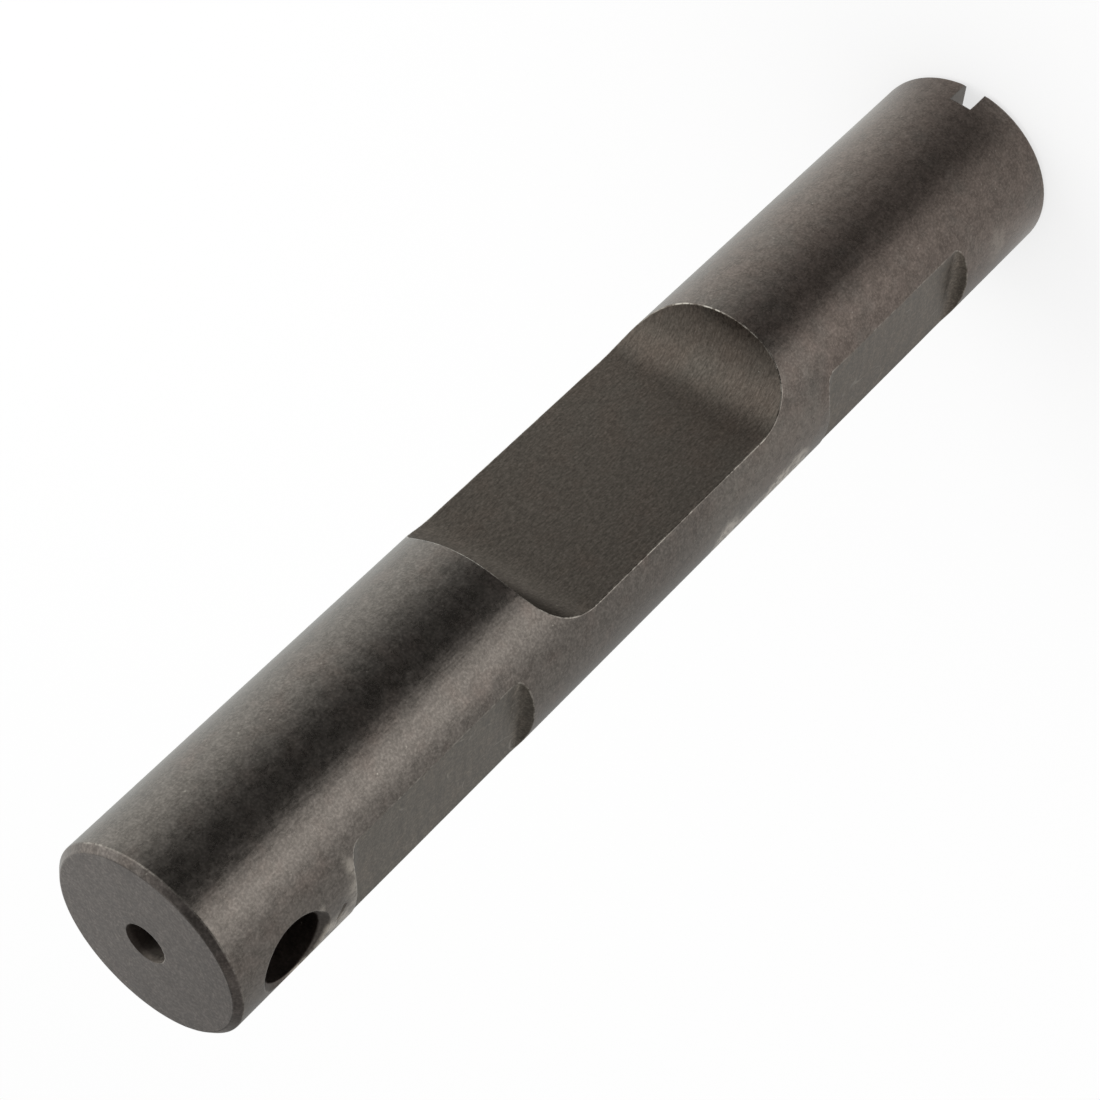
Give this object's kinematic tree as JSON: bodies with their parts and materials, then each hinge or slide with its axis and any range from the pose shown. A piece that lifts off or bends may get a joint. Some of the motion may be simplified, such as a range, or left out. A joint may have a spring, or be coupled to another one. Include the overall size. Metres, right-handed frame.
{
  "type": "differential cross pin",
  "caption": "Round steel cross pin for a differential, with a scooped middle, oil flats, a cross hole for its lock bolt and a slotted end.",
  "frame": {"origin": "middle of the slotted end face, which the pin stands on", "axes": "+Z along the pin's axis to the drilled end; the scoop faces +X; the lock hole runs along Y, the oil flats face -Y and the drive slot runs along X, all three turned 6.5 degrees about the axis"},
  "size_m": [0.0202, 0.0202, 0.1234],
  "materials": {
    "oxide_steel": "dark oxide, ground, with worn bright edges"
  },
  "bodies": {
    "root": {"cross_pin": "oxide_steel"}
  },
  "joints": []
}
